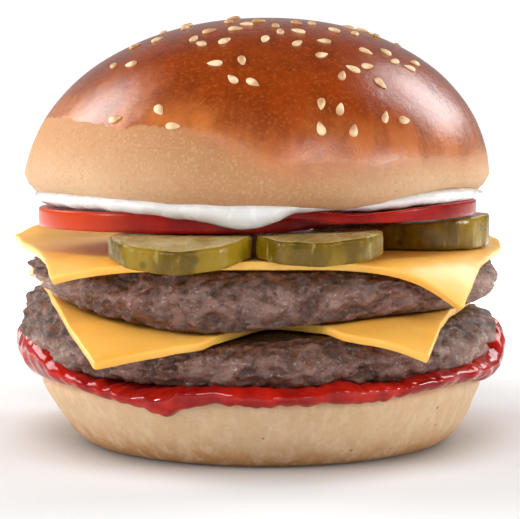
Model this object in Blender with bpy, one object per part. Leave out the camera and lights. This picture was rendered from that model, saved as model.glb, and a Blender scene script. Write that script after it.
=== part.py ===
"""A double burger, stacked from the bottom bun up: ketchup, patty, cheese, patty, cheese, pickles,
tomato, mayonnaise and a seeded top bun. Metres, +Z up, the front is -Y, the origin is the middle of
the flat base. Angles are in degrees from the front, growing towards +X."""

import math
import random

import bmesh
import bpy
from mathutils import Matrix, Vector, noise

MM = 0.001
GAP = 0.3 * MM  # clearance between faces that rest on each other

# Heights of the stack, from the base up
BOTTOM_BUN_TOP = 14.6 * MM
KETCHUP_THICKNESS = 1.6 * MM
LOWER_PATTY_THICKNESS = 9.7 * MM
UPPER_PATTY_THICKNESS = 10.3 * MM
CHEESE_THICKNESS = 1.7 * MM
PICKLE_THICKNESS = 4.4 * MM
TOMATO_THICKNESS = 3.9 * MM

KETCHUP_BOTTOM = BOTTOM_BUN_TOP + GAP
LOWER_PATTY_BOTTOM = KETCHUP_BOTTOM + KETCHUP_THICKNESS + GAP
LOWER_PATTY_TOP = LOWER_PATTY_BOTTOM + LOWER_PATTY_THICKNESS
LOWER_CHEESE_BOTTOM = LOWER_PATTY_TOP + 1.4 * GAP
UPPER_PATTY_BOTTOM = LOWER_CHEESE_BOTTOM + CHEESE_THICKNESS + 1.2 * GAP
UPPER_PATTY_TOP = UPPER_PATTY_BOTTOM + UPPER_PATTY_THICKNESS
UPPER_CHEESE_BOTTOM = UPPER_PATTY_TOP + GAP
PICKLE_BOTTOM = UPPER_CHEESE_BOTTOM + CHEESE_THICKNESS + GAP
TOMATO_BOTTOM = PICKLE_BOTTOM + PICKLE_THICKNESS + GAP

# Radii
BUN_RADIUS = 50.0 * MM
BASE_RADIUS = 37.4 * MM
BASE_SHIFT = 1.2 * MM  # the bottom bun's base sits a little to the right
PATTY_RADIUS = 49.6 * MM
PATTY_EDGE = 4.6 * MM
PATTY_RELIEF = 1.2 * MM
CRAG = 5.5 * MM  # the size of the crags in the patties' sides
DRAPE_START = 46.9 * MM  # where a slice of cheese begins to hang
DRAPE_REACH = 12.6 * MM

# How far the layers between the two patties stand up at the patties' rim: angle and mm
SIDE_LIFT = (
    (-180, 1.0), (-125, 2.5), (-95, 5.6), (-76, 5.2), (-60, 2.6), (-44, 0.5), (-20, -1.5),
    (-8, -1.5), (5, -0.5), (17, 0.2), (30, 1.0), (60, 1.2), (90, 1.5), (135, 1.2),
)
# What share of that lift is reached at a distance in mm from the stack's axis
LIFT_SHARES = ((26, 0.0), (34, 0.3), (45, 1.0), (52, 1.45))

# The ketchup squeezed out under the lower patty: angle, lowest and highest mm, radius in mm
KETCHUP_EDGE = (
    (-150, 13.6, 17.4, 51.0), (-118, 14.6, 22.0, 51.6), (-92, 15.6, 26.4, 52.2), (-75, 15.8, 25.0, 52.0),
    (-62, 15.9, 22.4, 51.6), (-50, 15.3, 18.4, 51.2), (-36, 13.4, 16.8, 51.0), (-27, 12.4, 16.4, 51.2),
    (-21.5, 11.3, 17.0, 51.4), (-16, 13.2, 17.4, 51.0), (-8, 13.9, 17.6, 50.8), (0, 13.4, 17.4, 51.0),
    (10, 13.8, 17.2, 51.2), (19, 13.7, 18.2, 51.2), (30, 13.8, 17.2, 50.8), (42, 15.0, 18.5, 51.2),
    (60, 15.4, 18.8, 51.6), (72, 14.0, 19.6, 51.8), (84, 15.4, 26.0, 52.6), (104, 15.4, 24.5, 52.0),
    (130, 14.0, 18.6, 51.2), (165, 12.6, 17.2, 51.4),
)
# The mayonnaise squeezed out over the tomato: angle, lowest and highest mm, radius in mm
MAYO_EDGE = (
    (-180, 51.0, 53.2, 46.4), (-120, 50.9, 53.4, 46.6), (-88, 50.9, 53.8, 47.6), (-75, 50.8, 53.8, 48.6),
    (-58, 50.6, 53.8, 49.8), (-37, 50.2, 53.6, 49.3), (-16, 48.7, 53.2, 48.2), (-5, 47.2, 53.0, 48.2),
    (2, 48.0, 53.0, 47.9), (9, 50.2, 53.0, 46.9), (18, 50.6, 53.0, 46.5), (28, 50.3, 53.0, 46.6),
    (36, 50.9, 53.8, 48.2), (46, 51.4, 54.3, 49.9), (60, 51.8, 54.5, 49.8), (74, 52.1, 54.0, 48.4),
    (95, 51.6, 53.4, 46.6), (140, 50.4, 53.0, 47.0),
)

# The top bun: its cut rim, its widest ring and its crest
TOP_BUN_RIM = 52.0 * MM
TOP_BUN_WIDEST = 53.0 * MM
TOP_BUN_CREST = 89.9 * MM
TOP_BUN_LEAN = 2.2 * MM
DOME_POWER = 2.11

# Sesame seeds
SEED_LENGTH = 3.1 * MM
SEED_WIDTH = 1.9 * MM
SEED_HEIGHT = 1.1 * MM
CAP_SEEDS = 19  # scattered over the cap and the back
CAP_RADIUS = 36.0 * MM
SHOWN_CAP_RADIUS = 22.0 * MM  # the front of the cap keeps to the fields below beyond this radius
SEED_SPACING = 3.6 * MM
# Fields of the dome where seeds lie: from and to an angle, lowest and highest mm, how many
SEED_FIELDS = (
    (-38, -12, 66, 72, 3), (8, 50, 62, 72, 6), (-17, 0, 75, 84.5, 6), (18, 60, 75, 82, 10),
    (2, 30, 82.5, 86, 4), (-66, -28, 79, 86, 5), (80, 250, 69, 81, 7),
)

# Pickle slices: name, centre x and y, radius, lift and wedge at the right end, bend at the front, in mm
PICKLES = (
    ("pickle_left", -15.5, -42.0, 13.6, 0.0, 0.0, 2.4),
    ("pickle_middle", 11.4, -41.2, 12.3, 0.6, 0.3, 1.7),
    ("pickle_right", 34.7, -7.0, 13.6, 0.0, 2.6, 0.0),
    ("pickle_back_right", 25.2, 22.0, 13.0, 0.0, 0.0, 0.0),
    ("pickle_back_left", -12.5, 35.5, 13.0, 0.0, 0.0, 0.0),
)
BEND_START = 45.6 * MM  # how far to the front the pickle slices begin to bend down
BEND_REACH = 9.9 * MM

# Tomato slices
LEFT_TOMATO = Vector((-12.0, -9.0)) * MM
LEFT_TOMATO_RADIUS = 34.5 * MM
LEFT_TOMATO_THINNING = 1.1 * MM  # how much thinner its right half is
LEFT_TOMATO_RISE = 0.9 * MM  # its right end stands up on the middle pickle
RIGHT_TOMATO = Vector((12.5, -12.0)) * MM
RIGHT_TOMATO_RADIUS = 32.3 * MM
RIGHT_TOMATO_THICKNESS = (1.9 * MM, 3.1 * MM)  # in front and at its right end
RIGHT_TOMATO_LOW = (48.2 * MM, 48.8 * MM)  # how low it hangs in front and at its right end
TOMATO_EDGE = 0.7 * MM
BACK_TOMATO = Vector((2.0, 11.5)) * MM
BACK_TOMATO_RADIUS = 35.0 * MM
BACK_TOMATO_CUT = 29.5 * MM

TAN = (0.80, 0.56, 0.33)
BROWN = (0.50, 0.17, 0.05)
KETCHUP_RED = (0.50, 0.01, 0.005)
MEAT = (0.23, 0.15, 0.13)
CHEESE_YELLOW = (0.93, 0.55, 0.13)
PICKLE_GREEN = (0.42, 0.38, 0.10)
TOMATO_RED = (0.62, 0.05, 0.02)
CREAM = (0.86, 0.85, 0.84)


def clear_scene():
    for obj in list(bpy.data.objects):
        bpy.data.objects.remove(obj)


def material(name, colour, roughness):
    made = bpy.data.materials.get(name)
    if made is None:
        made = bpy.data.materials.new(name)
        made.use_nodes = True
        shader = made.node_tree.nodes["Principled BSDF"]
        shader.inputs["Base Color"].default_value = (*colour, 1)
        shader.inputs["Roughness"].default_value = roughness
        shader.inputs["Metallic"].default_value = 0
    return made


def polar(angle, radius, height):
    turn = math.radians(angle)
    return Vector((radius * math.sin(turn), -radius * math.cos(turn), height))


def eased(share):
    share = min(1, max(0, share))
    return share * share * (3 - 2 * share)


def lobe(angle, centre, width):
    """1 at the centre angle, falling smoothly to 0 a width away on either side."""
    away = abs((angle - centre + 180) % 360 - 180)
    return eased(1 - away / width)


def around(angle, waves, seed):
    """Smooth unevenness round a rim, from about -1 to 1, that meets itself after a full turn."""
    turn = math.radians(angle)
    return 1.6 * noise.noise(Vector((waves * math.cos(turn), waves * math.sin(turn), seed)))


def rim_values(points, angle):
    """The values at an angle of a smooth closed line through points of (angle, value, ...)."""
    angle = (angle + 180) % 360 - 180
    count = len(points)
    after = next((i for i, point in enumerate(points) if point[0] > angle), count)
    near = [
        (points[i % count][0] + 360 * (i // count), *points[i % count][1:])
        for i in range(after - 2, after + 2)
    ]
    before, start, end, beyond = (point[0] for point in near)
    span = end - start
    t = (angle - start) / span
    values = []
    for p, q, r, s in zip(*(point[1:] for point in near)):
        leave, arrive = span * (r - p) / (end - before), span * (s - q) / (beyond - start)
        bend = 3 * (r - q) - 2 * leave - arrive
        twist = 2 * (q - r) + leave + arrive
        values.append(q + t * (leave + t * (bend + t * twist)))
    return values


def side_lift(x, y):
    """How far the layers between the patties stand up at a place."""
    radius = math.hypot(x, y) / MM
    share = 0
    for (near, low), (far, high) in zip(LIFT_SHARES, LIFT_SHARES[1:]):
        share += (high - low) * min(1, max(0, (radius - near) / (far - near)))
    return MM * share * rim_values(SIDE_LIFT, math.degrees(math.atan2(x, -y)))[0]


def smooth_line(points, steps):
    """A Catmull-Rom curve through the points, with so many steps between each two."""
    ends = [points[0], *points, points[-1]]
    line = []
    for a, b, c, d in zip(ends, ends[1:], ends[2:], ends[3:]):
        for step in range(steps):
            t = step / steps
            line.append(tuple(
                q + 0.5 * ((r - p) * t + (2 * p - 5 * q + 4 * r - s) * t**2 + (3 * q - p - 3 * r + s) * t**3)
                for p, q, r, s in zip(a, b, c, d)
            ))
    return [*line, points[-1]]


def disc_profile(radius, bottom, top, edge, rings):
    """From the bottom centre, round a bulging rim of so many rings, to the top centre."""
    middle, half = (bottom + top) / 2, (top - bottom) / 2
    rim = []
    for ring in range(rings + 1):
        turn = math.pi * (ring / rings - 0.5)
        rim.append((radius - edge + edge * math.cos(turn), middle + half * math.sin(turn)))
    return [(0, bottom), *rim, (0, top)]


def turned(name, profile, segments, look, shape=polar):
    """A closed solid swept round Z from a profile of (radius, height). shape(angle, radius, height) places
    each point."""
    form = bmesh.new()
    rings = []
    for radius, height in profile:
        count = segments if radius > 0 else 1
        rings.append([form.verts.new(shape(360 * i / count, radius, height)) for i in range(count)])
    for lower, upper in zip(rings, rings[1:]):
        for i in range(segments):
            a, b = lower[i % len(lower)], lower[(i + 1) % len(lower)]
            c, d = upper[(i + 1) % len(upper)], upper[i % len(upper)]
            form.faces.new(dict.fromkeys((a, b, c, d)))
    bmesh.ops.recalc_face_normals(form, faces=form.faces)
    return solid(name, form, look)


def solid(name, form, look):
    mesh = bpy.data.meshes.new(name)
    form.to_mesh(mesh)
    form.free()
    mesh.shade_smooth()
    mesh.set_sharp_from_angle(angle=math.radians(50))
    mesh.materials.append(look)
    obj = bpy.data.objects.new(name, mesh)
    bpy.context.scene.collection.objects.link(obj)
    return obj


def cut_away(obj, cutters):
    """Cuts the object back from its neighbours' grown shapes, then removes those."""
    for cutter in cutters:
        cut = obj.modifiers.new("clear_of_" + cutter.name, "BOOLEAN")
        cut.operation = "DIFFERENCE"
        cut.object = cutter
    keep_result(obj)
    drop_scraps(obj)
    for cutter in cutters:
        bpy.data.objects.remove(cutter)


def drop_scraps(obj):
    """Keeps only the largest of the separate bodies that a cut has left."""
    form = bmesh.new()
    form.from_mesh(obj.data)
    left, bodies = set(form.verts), []
    while left:
        body, reached = set(), [left.pop()]
        while reached:
            vert = reached.pop()
            body.add(vert)
            for edge in vert.link_edges:
                other = edge.other_vert(vert)
                if other in left:
                    left.remove(other)
                    reached.append(other)
        bodies.append(body)
    scraps = [vert for body in sorted(bodies, key=len)[:-1] for vert in body]
    bmesh.ops.delete(form, geom=scraps, context="VERTS")
    form.to_mesh(obj.data)
    form.free()


def keep_result(obj):
    """Makes the evaluated mesh the object's own and drops its modifiers."""
    bpy.context.view_layer.update()
    graph = bpy.context.evaluated_depsgraph_get()
    mesh = bpy.data.meshes.new_from_object(obj.evaluated_get(graph), depsgraph=graph)
    obj.modifiers.clear()
    obj.data = mesh


def bottom_bun(name="bottom_bun", grow=0.0):
    side = ((BASE_RADIUS, 0), (39.6 * MM, 0.8 * MM), (41.8 * MM, 2.9 * MM), (43.9 * MM, 6.0 * MM),
            (45.7 * MM, 9.3 * MM), (47.4 * MM, 12.8 * MM), (47.0 * MM, BOTTOM_BUN_TOP))
    profile = [(0, -grow), *((r + grow, z - grow) for r, z in side[:-1]),
               (side[-1][0] + grow, BOTTOM_BUN_TOP + grow), (0, BOTTOM_BUN_TOP + grow)]

    def uneven(angle, radius, height):
        share = eased(height / BOTTOM_BUN_TOP)
        place = polar(angle, radius * (1 + 0.008 * share * around(angle, 1.3, 4.0)), height)
        place.x += BASE_SHIFT * (1 - share)
        return place

    return turned(name, profile, 48, material("bread", TAN, 0.75), uneven)


def patty(name, bottom, thickness, shift, seed, lifts, grow=0.0):
    """A ground meat patty with a craggy side. lifts: how much of the sides' lift its bottom and top take."""
    top = bottom + thickness
    profile = disc_profile(PATTY_RADIUS + grow, bottom - grow, top + grow, PATTY_EDGE, 6)
    flats = [radius * MM for radius, _ in LIFT_SHARES[:2]]
    if lifts[0]:
        profile[1:1] = [(radius, bottom - grow) for radius in flats]
    if lifts[1]:
        profile[-1:-1] = [(radius, top + grow) for radius in reversed(flats)]

    def craggy(angle, radius, height):
        place = polar(angle, radius, height)
        side = eased((radius - PATTY_RADIUS + PATTY_EDGE) / PATTY_EDGE)
        spot = Vector((place.x, place.y, 1.3 * place.z)) / CRAG + Vector((seed, seed, seed))
        relief = PATTY_RELIEF * side * 1.5 * (noise.noise(spot) + 0.5 * noise.noise(2.3 * spot))
        place += polar(angle, relief + 0.6 * MM * side * around(angle, 1.4, seed), 0)
        place.x += shift
        share = (height - bottom) / thickness
        place.z += side_lift(place.x, place.y) * (lifts[0] * (1 - share) + lifts[1] * share)
        return place

    return turned(name, profile, 60, material("meat", MEAT, 0.6), craggy)


def lower_patty(name="patty_lower", grow=0.0):
    return patty(name, LOWER_PATTY_BOTTOM, LOWER_PATTY_THICKNESS, 0, 3.0, (0, 1), grow)


def upper_patty():
    return patty("patty_upper", UPPER_PATTY_BOTTOM, UPPER_PATTY_THICKNESS, 0.8 * MM, 14.0, (1, 0))


def ketchup():
    """The layer under the lower patty, with the bead squeezed out round its edge."""
    inner = 44.0 * MM
    bead = disc_profile(1.0, 0.0, 1.0, 0.5, 5)[1:-1]
    layer = ((0, 0), (inner, 0), *bead, (inner, 1), (0, 1))

    def squeezed(angle, radius, share):
        if radius <= inner:
            return polar(angle, radius, KETCHUP_BOTTOM - GAP + share * (KETCHUP_THICKNESS + 2 * GAP))
        bottom, top, outer = (value * MM for value in rim_values(KETCHUP_EDGE, angle))
        inwards = 2 * (1 - radius)
        reach = outer - inwards * (outer - 48.0 * MM)
        low = bottom * (1 - inwards) + min(bottom, 14.8 * MM) * inwards
        return polar(angle, reach, low + share * (top - low))

    body = turned("ketchup", layer, 46, material("ketchup", KETCHUP_RED, 0.15), squeezed)
    cut_away(body, [bottom_bun("under_ketchup", GAP), lower_patty("over_ketchup", 2.4 * GAP)])
    return body


def cheese(name, bottom, corners, drops, bows, bend, curl, notch, lift):
    """A slice of cheese that drapes over a patty's rim. corners, drops: front left, front right, back right,
    back left, in mm. A drop below zero curls up. bows: how far the left, right, front and back edges curve
    outwards. bend: the power by which it hangs lower further out. curl: how far the ends of the back edge
    stand up. notch: how far the middle of the front edge lies back. lift: how much of the sides' lift it
    takes."""
    count = 16
    front_left, front_right, back_right, back_left = (Vector(corner) * MM for corner in corners)
    left_bow, right_bow, front_bow, back_bow = (bow * MM for bow in bows)

    def place(u, v):
        s, t = (u + 1) / 2, (v + 1) / 2
        flat = (front_left * (1 - s) + front_right * s) * (1 - t) + (back_left * (1 - s) + back_right * s) * t
        flat.x += (right_bow * s - left_bow * (1 - s)) * (1 - v * v)
        flat.y += (front_bow * (1 - t) * -1 + back_bow * t) * (1 - u * u)
        flat.y += notch * MM * eased(1 - abs(u - 0.08) / 0.45) * (1 - t) ** 2
        across, along = eased(s), eased(t)
        drop = (drops[0] * (1 - across) + drops[1] * across) * (1 - along)
        drop += (drops[3] * (1 - across) + drops[2] * across) * along
        out = max(0, (flat.length - DRAPE_START) / DRAPE_REACH)
        inwards = 1 - abs(u)
        raised = curl * eased((v - 0.4) / 0.6) * eased(inwards / 0.1) * eased((0.7 - inwards) / 0.5)
        raised *= min(1, out)
        height = bottom - (drop * min(1.1, out) ** bend - raised) * MM
        return Vector((flat.x, flat.y, height + lift * side_lift(flat.x, flat.y)))

    form = bmesh.new()
    rows = [[form.verts.new(place(2 * i / count - 1, 2 * j / count - 1)) for i in range(count + 1)]
            for j in range(count + 1)]
    for near, far in zip(rows, rows[1:]):
        for a, b, c, d in zip(near, near[1:], far[1:], far):
            form.faces.new((a, b, c, d))
    slice_ = solid(name, form, material("cheese", CHEESE_YELLOW, 0.35))
    thick = slice_.modifiers.new("thickness", "SOLIDIFY")
    thick.thickness = CHEESE_THICKNESS
    thick.offset = 1
    return slice_


def pickle(name, x, y, radius, lift, wedge, bend, seed):
    """A round pickle slice with a slightly ridged skin, lying on the cheese. lift: how far it is tilted up
    at its right end. wedge: how much thicker it is there. bend: how far its front bends down past the
    cheese."""
    half = PICKLE_THICKNESS / 2
    profile = disc_profile(radius, -half, half, 0.8 * MM, 3)
    if bend:
        profile[1:1] = [(share * radius, -half) for share in (0.35, 0.7)]
        profile[-1:-1] = [(share * radius, half) for share in (0.7, 0.35)]

    def ridged(angle, reach, height):
        ridge = 1 + 0.012 * math.cos(math.radians(9 * angle)) + 0.02 * around(angle, 1.5, seed)
        place = polar(angle, reach * ridge, height + PICKLE_BOTTOM + half)
        place += Vector((x, y, 0))
        across = (place.x - x + radius) / (2 * radius)
        place.z += MM * (lift * across + wedge * across * (height + half) / (2 * half))
        place.z -= MM * bend * max(0, (-place.y - BEND_START) / BEND_REACH) ** 1.3
        return place

    return turned(name, profile, 28, material("pickle", PICKLE_GREEN, 0.4), ridged)


def tomato(name, centre, radius, flats, faces, seed, grow=0.0):
    """A tomato slice. flats: shares of the radius where its faces may bend. faces(x, y): its lower and upper
    height there."""
    rim = disc_profile(radius + grow, 0, 1, TOMATO_EDGE, 3)[1:-1]
    flats = [share * radius for share in flats]
    profile = [(0, 0), *((r, 0) for r in flats), *rim, *((r, 1) for r in reversed(flats)), (0, 1)]

    def placed(angle, reach, share):
        point = polar(angle, reach * (1 + 0.015 * around(angle, 1.6, seed)), 0)
        point += Vector((centre.x, centre.y, 0))
        low, high = faces(point.x, point.y)
        point.z = (low - grow) * (1 - share) + (high + grow) * share
        return point

    return turned(name, profile, 32, material("tomato", TOMATO_RED, 0.25), placed)


def left_faces(x, y):
    low = TOMATO_BOTTOM + LEFT_TOMATO_RISE * eased((x - 3 * MM) / (14 * MM))
    return low, low + TOMATO_THICKNESS - LEFT_TOMATO_THINNING * eased((x + 8 * MM) / (12 * MM))


def left_tomato(name="tomato_left", grow=0.0):
    return tomato(name, LEFT_TOMATO, LEFT_TOMATO_RADIUS, (0.25, 0.5, 0.75), left_faces, 1.0, grow)


def right_faces(x, y):
    """It lies on the left slice and comes down past that one's edge."""
    past = (Vector((x, y)) - LEFT_TOMATO).length - LEFT_TOMATO_RADIUS - 1.0 * MM
    fallen = eased(past / (9 * MM))
    to_right = eased((x - 18 * MM) / (24 * MM))
    lying = left_faces(x, y)[1] + GAP
    hanging = RIGHT_TOMATO_LOW[0] * (1 - to_right) + RIGHT_TOMATO_LOW[1] * to_right
    low = lying * (1 - fallen) + hanging * fallen
    return low, low + RIGHT_TOMATO_THICKNESS[0] * (1 - to_right) + RIGHT_TOMATO_THICKNESS[1] * to_right


def right_tomato(name="tomato_right", grow=0.0):
    flats = (0.2, 0.4, 0.58, 0.72, 0.86)
    return tomato(name, RIGHT_TOMATO, RIGHT_TOMATO_RADIUS, flats, right_faces, 6.0, grow)


def back_tomato(name="tomato_back", grow=0.0):
    """The end of a slice, cut straight, which fills the back behind the two round ones."""
    slice_ = tomato(name, BACK_TOMATO, BACK_TOMATO_RADIUS, (),
                    lambda x, y: (TOMATO_BOTTOM, TOMATO_BOTTOM + TOMATO_THICKNESS), 8.0, grow)
    form = bmesh.new()
    form.from_mesh(slice_.data)
    everything = form.verts[:] + form.edges[:] + form.faces[:]
    plane = Vector((0, BACK_TOMATO_CUT - grow, 0))
    bmesh.ops.bisect_plane(form, geom=everything, plane_co=plane, plane_no=(0, -1, 0), clear_outer=True)
    bmesh.ops.holes_fill(form, edges=[edge for edge in form.edges if edge.is_boundary])
    bmesh.ops.recalc_face_normals(form, faces=form.faces)
    form.to_mesh(slice_.data)
    form.free()
    return slice_


def top_bun_profile(grow=0.0):
    """The cut underside, hollowed by what it lies on, the curled rim and the dome."""
    underside = [(0, 55.6), (39.0, 55.2), (43.0, 54.3), (45.2, 52.8)]
    profile = [(r * MM, z * MM - grow) for r, z in underside]
    rim = smooth_line(((46.4 * MM, TOP_BUN_RIM), (47.6 * MM, 52.7 * MM), (48.9 * MM, 54.2 * MM)), 2)
    profile += [(r + grow, z - grow) for r, z in rim]
    rise = TOP_BUN_CREST - TOP_BUN_WIDEST
    steps = 12
    for step in range(1, steps + 1):
        turn = math.radians(90 * step / steps)
        radius = max(0, math.cos(turn)) ** (2 / DOME_POWER) * BUN_RADIUS
        height = math.sin(turn) ** (2 / DOME_POWER) * rise
        profile.append((radius + grow if step < steps else 0, TOP_BUN_WIDEST + height))
    return profile


def top_bun_place(angle, radius, height):
    """The dome leans a little and is not quite round. Its rim hangs down in front and rises at the sides."""
    rise = max(0, height - TOP_BUN_WIDEST) / (TOP_BUN_CREST - TOP_BUN_WIDEST)
    point = polar(angle, radius * (1 + 0.006 * around(angle, 1.2, 7.0)), height)
    point.x += TOP_BUN_LEAN * (rise - 0.35)
    wave = 0.8 * (lobe(angle, 90, 60) + lobe(angle, -90, 60)) - 0.8 * lobe(angle, 0, 48)
    wave += 0.4 * (lobe(angle, 54, 22) - lobe(angle, 22, 18))
    point.z += MM * wave * eased(radius / BUN_RADIUS) * (1 - eased(5 * rise))
    return point


def on_dome(angle, height):
    """The point of the dome at an angle and height, and the direction that points out of it there."""
    rise = TOP_BUN_CREST - TOP_BUN_WIDEST
    share = (height - TOP_BUN_WIDEST) / rise
    radius = BUN_RADIUS * max(0, 1 - share**DOME_POWER) ** (1 / DOME_POWER)
    outwards = polar(angle, max(radius, 1e-6) ** (DOME_POWER - 1) / BUN_RADIUS**DOME_POWER, 0)
    outwards.z = share ** (DOME_POWER - 1) / rise
    return top_bun_place(angle, radius, height), outwards.normalized()


def height_on_dome(radius):
    share = (1 - (radius / BUN_RADIUS) ** DOME_POWER) ** (1 / DOME_POWER)
    return TOP_BUN_WIDEST + share * (TOP_BUN_CREST - TOP_BUN_WIDEST)


def seed_places():
    """Angle and height of each sesame seed, drawn in the fields and then over the cap, clear of each other."""
    draw = random.Random(12)
    spots, taken = [], []

    def add(angle, height):
        point = on_dome(angle, height)[0]
        if all((point - other).length > SEED_SPACING for other in taken):
            spots.append((angle, height))
            taken.append(point)

    wanted = 0
    for start, end, lowest, highest, count in SEED_FIELDS:
        wanted += count
        while len(spots) < wanted:
            add(draw.uniform(start, end), MM * draw.uniform(lowest, highest))
    while len(spots) < wanted + CAP_SEEDS:
        angle = draw.uniform(-180, 180)
        radius = CAP_RADIUS * draw.random() ** 0.55
        if abs(angle) > 90 or radius < SHOWN_CAP_RADIUS:
            add(angle, height_on_dome(radius))
    return spots


def seed_mesh():
    """A flat drop shape with one pointed end, along X."""
    form = bmesh.new()
    sides, rings = 5, ((-0.28, 0.85), (0.12, 0.9))
    tail, tip = form.verts.new((-0.5 * SEED_LENGTH, 0, 0)), form.verts.new((0.5 * SEED_LENGTH, 0, 0))
    loops = [[tail]]
    for along, width in rings:
        loops.append([
            form.verts.new((along * SEED_LENGTH, width * SEED_WIDTH / 2 * math.cos(turn),
                            width * SEED_HEIGHT / 2 * math.sin(turn)))
            for turn in (2 * math.pi * i / sides for i in range(sides))
        ])
    loops.append([tip])
    for near, far in zip(loops, loops[1:]):
        for i in range(sides):
            a, b = near[i % len(near)], near[(i + 1) % len(near)]
            c, d = far[(i + 1) % len(far)], far[i % len(far)]
            form.faces.new(dict.fromkeys((a, b, c, d)))
    bmesh.ops.recalc_face_normals(form, faces=form.faces)
    mesh = bpy.data.meshes.new("seed")
    form.to_mesh(mesh)
    form.free()
    return mesh


def top_bun():
    """The dome with its seeds fused on."""
    bun = turned("top_bun", top_bun_profile(), 40, material("crust", BROWN, 0.25), top_bun_place)
    seeds = bpy.data.collections.new("seeds")
    bpy.context.scene.collection.children.link(seeds)
    shape, draw = seed_mesh(), random.Random(5)
    for number, (angle, height) in enumerate(seed_places()):
        point, outwards = on_dome(angle, height)
        seed = bpy.data.objects.new(f"seed_{number}", shape)
        seeds.objects.link(seed)
        spin = Matrix.Rotation(draw.uniform(0, 2 * math.pi), 3, "Z")
        stance = outwards.to_track_quat("Z", "X").to_matrix() @ spin
        seed.matrix_world = Matrix.Translation(point + outwards * 0.12 * SEED_HEIGHT) @ stance.to_4x4()
    fuse = bun.modifiers.new("seeds", "BOOLEAN")
    fuse.operation = "UNION"
    fuse.operand_type = "COLLECTION"
    fuse.collection = seeds
    keep_result(bun)
    bun.data.set_sharp_from_angle(angle=math.radians(50))
    for seed in list(seeds.objects):
        bpy.data.objects.remove(seed)
    bpy.data.collections.remove(seeds)
    return bun


def mayonnaise():
    """The layer under the top bun, cut round the tomato slices that it covers."""
    inner, bottom, top = 38.0 * MM, 50.7 * MM, 55.9 * MM
    bead = disc_profile(1.0, 0.0, 1.0, 0.5, 5)[1:-1]
    layer = ((0, 0), (inner, 0), *bead, (inner, 1), (0, 1))

    def spread(angle, radius, share):
        if radius <= inner:
            return polar(angle, radius, bottom + share * (top - bottom))
        lowest, highest, outer = (value * MM for value in rim_values(MAYO_EDGE, angle))
        reach = outer - (1 - radius) * 2 * 3.4 * MM
        return polar(angle, reach, lowest + share * (highest - lowest))

    body = turned("mayonnaise", layer, 40, material("mayonnaise", CREAM, 0.3), spread)
    bun = turned("over_mayo", top_bun_profile(GAP), 40, material("crust", BROWN, 0.25), top_bun_place)
    slices = [left_tomato("cut_left", GAP), right_tomato("cut_right", 2 * GAP), back_tomato("cut_back", GAP)]
    cut_away(body, [bun, *slices])
    return body


def build():
    clear_scene()
    bottom_bun()
    ketchup()
    lower_patty()
    cheese("cheese_lower", LOWER_CHEESE_BOTTOM, ((-31, -53), (31.3, -52), (54, 30), (-54, 30)),
           (4.0, 5.5, 1.0, -0.5), (3.0, 0.0, -6.0, 16.0), 1.05, 0.0, 12.0, 1)
    upper_patty()
    cheese("cheese_upper", UPPER_CHEESE_BOTTOM, ((-39.9, -41), (38.5, -41), (55.1, 29), (-56.8, 29)),
           (5.2, 15.5, 0.4, -0.4), (0.0, 3.2, 6.0, 20.0), 2.0, 2.2, 0.0, 0)
    for number, details in enumerate(PICKLES):
        name, x, y, radius, lift, wedge, bend = details
        pickle(name, x * MM, y * MM, radius * MM, lift, wedge, bend, number)
    left_tomato()
    right_tomato()
    back_tomato()
    mayonnaise()
    top_bun()


build()
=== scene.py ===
"""The looks of the double burger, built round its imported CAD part.

Lengths in metres, angles in degrees from the front (-Y), growing towards +X.
"""

import math
import random

import bpy
from mathutils import Matrix, Vector, noise


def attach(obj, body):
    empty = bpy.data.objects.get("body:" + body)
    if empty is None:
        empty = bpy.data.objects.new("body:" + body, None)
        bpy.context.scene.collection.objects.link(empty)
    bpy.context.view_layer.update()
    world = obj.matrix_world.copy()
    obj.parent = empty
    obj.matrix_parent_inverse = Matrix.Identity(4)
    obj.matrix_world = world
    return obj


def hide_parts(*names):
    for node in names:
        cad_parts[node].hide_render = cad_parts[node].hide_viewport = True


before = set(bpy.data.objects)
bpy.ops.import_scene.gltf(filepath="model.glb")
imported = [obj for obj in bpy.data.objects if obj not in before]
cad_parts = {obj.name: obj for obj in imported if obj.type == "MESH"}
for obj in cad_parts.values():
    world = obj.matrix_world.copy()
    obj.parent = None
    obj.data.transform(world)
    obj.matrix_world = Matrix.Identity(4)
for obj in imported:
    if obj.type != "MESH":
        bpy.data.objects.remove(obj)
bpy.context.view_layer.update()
MM = 0.001


def polar(angle, radius, height):
    turn = math.radians(angle)
    return Vector((radius * math.sin(turn), -radius * math.cos(turn), height))


def eased(share):
    share = min(1, max(0, share))
    return share * share * (3 - 2 * share)


def lobe(angle, centre, width):
    """1 at the centre angle, falling smoothly to 0 a width away on either side."""
    away = abs((angle - centre + 180) % 360 - 180)
    return eased(1 - away / width)


def around(angle, waves, seed):
    """Smooth unevenness round a rim, from about -1 to 1."""
    turn = math.radians(angle)
    return 1.6 * noise.noise(Vector((waves * math.cos(turn), waves * math.sin(turn), seed)))


def fbm(point, size, seed, octaves=3):
    """Layered noise, from about -1 to 1, with its largest lumps of a size."""
    spot = point / size + Vector((seed, 2 * seed, 3 * seed))
    total, share = 0, 0.6
    for _ in range(octaves):
        total += share * noise.noise(spot)
        spot *= 2.1
        share *= 0.5
    return 1.6 * total


def ridged(point, size, seed):
    """Noise with sharp creases, from 0 in a crease to 1."""
    spot = point / size + Vector((seed, seed, seed))
    return min(1, 2.2 * abs(noise.noise(spot)) + 0.35 * abs(noise.noise(2.3 * spot)))


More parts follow.
